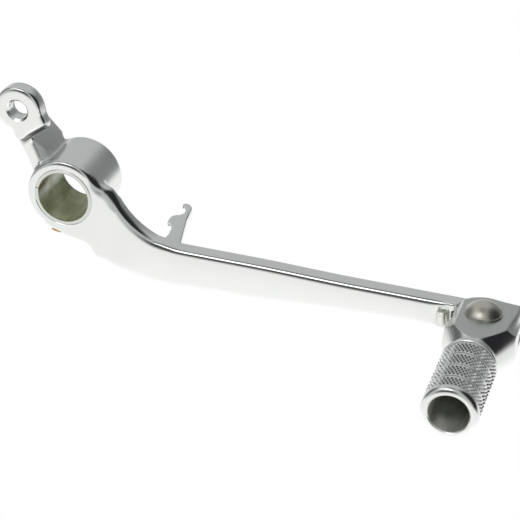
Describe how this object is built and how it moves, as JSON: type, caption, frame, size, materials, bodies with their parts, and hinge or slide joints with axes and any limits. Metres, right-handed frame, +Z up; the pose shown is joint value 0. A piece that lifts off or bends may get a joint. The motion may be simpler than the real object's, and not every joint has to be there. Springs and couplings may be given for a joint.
{
  "type": "rear brake pedal",
  "caption": "Aluminium rear brake pedal for a motorbike with a bushed pivot, rod ear, spring tab and a sprung folding knurled toe peg.",
  "frame": {"origin": "centre of the pivot bush's bore at the boss's outer face", "axes": "+X forward along the arm to the toe peg, +Y inboard along the pivot axis, +Z up"},
  "size_m": [0.2224, 0.0918, 0.0808],
  "materials": {
    "arm_alloy": "polished",
    "peg_alloy": "polished",
    "bush_metal": "worn and greasy",
    "rivet_steel": "plated",
    "pin_steel": "plated",
    "spring_steel": "oiled"
  },
  "bodies": {
    "arm": {"pedal_arm": "arm_alloy", "pivot_bush": "bush_metal", "arm_pin": "pin_steel", "toe_spring": "spring_steel"},
    "peg": {"toe_peg": "peg_alloy", "toe_rivet": "rivet_steel", "rivet_washer": "rivet_steel"}
  },
  "joints": [
    {"name": "toe_fold", "type": "hinge", "parent": "arm", "child": "peg", "pos_m": [0.1783, -0.004, -0.0225], "axis": [0, 0, 1], "range_deg": [-35, 0], "stiffness_Nm_per_rad": 0.4, "springref_deg": 17.19}
  ]
}
